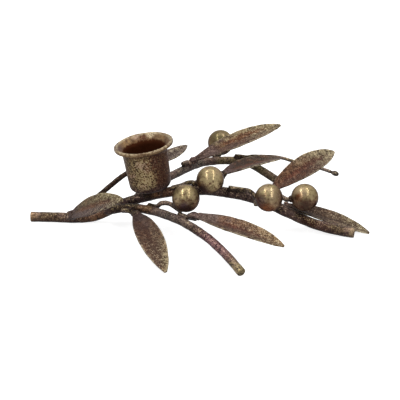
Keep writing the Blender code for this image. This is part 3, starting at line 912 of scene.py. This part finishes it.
def make_welds(pieces, material):
    """Beads where stalks lie on their bars and meet what they carry, and where branches start."""
    chance = random.Random(BEAD_SEED)
    bar_trees = {bar: tree_of(pieces[bar]) for bar in BARS}
    for stalk in [name for name in pieces if name.endswith("_stalk")] + ["bud_twig"]:
        reach = WIDE_SEAMS.get(stalk, BEAD_REACH)
        seams = [seam(pieces[stalk], tree, reach) for tree in bar_trees.values()]
        make_weld(f"weld_{stalk}_on_bar", max(seams, key=len), STALK_BEAD, material, chance)
        carried = stalk.removesuffix("_stalk")
        if carried in LEAVES:
            neck = LONG_NECK if carried in LONG_NECKED else SHORT_NECK
            points = seam(pieces[stalk], tree_of(pieces[carried]), neck.reach)
            points += notch_fill(pieces[carried], tree_of(pieces[stalk]), neck)
            make_weld(f"weld_{carried}", points, neck.bead, material, chance)
        if carried in BERRIES:
            points = seam(pieces[stalk], tree_of(pieces[carried]), BEAD_REACH)
            make_weld(f"weld_{carried}", points, BERRY_BEAD, material, chance)
    points = seam(pieces["tip_leaf"], bar_trees["main_stem"], TIP_LEAF_SEAM)
    points = [point for point in points if not DAYLIGHT[0] < point.x < DAYLIGHT[1]]
    make_weld("weld_tip_leaf_on_stem", points, TIP_LEAF_BEAD, material, chance)
    points = seam(pieces["bud"], tree_of(pieces["bud_twig"]), BEAD_REACH)
    make_weld("weld_bud", points, BUD_BEAD, material, chance)
    for branch in ("front_branch", "rear_branch"):
        points = seam(pieces[branch], bar_trees["main_stem"], BEAD_REACH)
        make_weld(f"weld_{branch}", points, BRANCH_BEAD, material, chance)


def make_table():
    """A white table that keeps the object's shadow and glows for the rays that see it."""
    bpy.ops.object.select_all(action="DESELECT")
    bpy.ops.mesh.primitive_plane_add(size=TABLE_SIZE, location=(0, 0, 0))
    table = bpy.context.object
    table.name = "table"
    f = Finish("white table")
    f.feed(f.surface.inputs["Base Color"], TABLE_COLOUR)
    f.feed(f.surface.inputs["Roughness"], TABLE_ROUGHNESS)
    f.feed(f.surface.inputs["Specular IOR Level"], 0.0)
    glow = f.node("ShaderNodeEmission", inputs={"Color": WHITE, "Strength": f.seen() * TABLE_GLOW})
    both = f.node("ShaderNodeAddShader", inputs={0: Value(f, f.surface.outputs[0]), 1: glow})
    f.feed(f.tree.nodes["Material Output"].inputs["Surface"], both)
    table.data.materials.append(f.material)


def make_world():
    """A world that is white for the rays that see it, and gives the object only a little light."""
    world = bpy.data.worlds.new("studio")
    bpy.context.scene.world = world
    world.use_nodes = True
    nodes = Nodes(world.node_tree)
    background = nodes.tree.nodes["Background"].inputs
    nodes.feed(background["Color"], WHITE)
    nodes.feed(background["Strength"], WORLD_LIGHT + nodes.seen() * (1 - WORLD_LIGHT))


def hang_lamps():
    """Two strips to the left and right of the viewer, and a soft lamp overhead."""
    for name, place, turn, size, watts in LAMPS:
        light = bpy.data.lights.new(name, "AREA")
        light.shape = "RECTANGLE"
        light.size, light.size_y = size
        light.energy = watts
        lamp = bpy.data.objects.new(name, light)
        bpy.context.scene.collection.objects.link(lamp)
        lamp.location = place
        lamp.rotation_euler = (0.0, 0.0, math.radians(turn))


def set_camera():
    """The camera at the photograph's angle, and colours shown as they are."""
    lens = bpy.data.cameras.new("camera")
    lens.angle = VIEW_FIELD
    camera = bpy.data.objects.new("camera", lens)
    bpy.context.scene.collection.objects.link(camera)
    back = Vector((0.0, -math.cos(VIEW_ELEVATION), math.sin(VIEW_ELEVATION)))
    camera.location = VIEW_POINT + back * VIEW_DISTANCE
    camera.rotation_euler = (-back).to_track_quat("-Z", "Y").to_euler()
    bpy.context.scene.camera = camera
    bpy.context.scene.view_settings.view_transform = "Standard"


def seat_of_cup():
    """Where the cup's inner floor is and which way its axis looks, from the record's mount."""
    mount = next(entry for entry in frame["record"]["mounts"] if entry["name"] == "candle_seat")
    return Vector(mount["pos_m"]), Vector(mount["axis"])


make_table()
make_world()
hang_lamps()
set_camera()

wires = bar_bronze("wire bronze", BLOOMS["wires"], rub=0.03, patina=GREY)
dark_wire = bar_bronze("dark wire bronze", rub=-0.04, patina=UMBER)
welds = bar_bronze("weld bronze", BLOOMS["welds"], rub=-0.035)
berries = berry_gold()
cup_seat, cup_axis = seat_of_cup()
cup_foot = cup_seat - cup_axis * CUP_FLOOR

pieces = {}
for node in BARS:
    pieces[node] = make_piece(node, BAR, bar_bronze(node.replace("_", " "), BLOOMS[node]))
for node in LEAVES:
    pieces[node] = make_leaf(node, leaf_bronze(node))
for node in BERRIES:
    pieces[node] = make_ball(node, berries)
for node in [carried + "_stalk" for carried in LEAVES + BERRIES]:
    form, material = (THICK_WIRE, dark_wire) if node == THICK_STALK else (WIRE, wires)
    pieces[node] = make_piece(node, form, material)
pieces["bud_twig"] = make_piece("bud_twig", WIRE, wires)
pieces["bud"] = make_piece("bud", BUD, wires)
pieces["candle_cup"] = make_cup("candle_cup", cup_gold(cup_foot), cup_foot, cup_axis)
pieces["cup_weld"] = make_piece("cup_weld", WIRE, bar_bronze("cup weld", BLOOMS["cup_weld"]))
make_welds(pieces, welds)
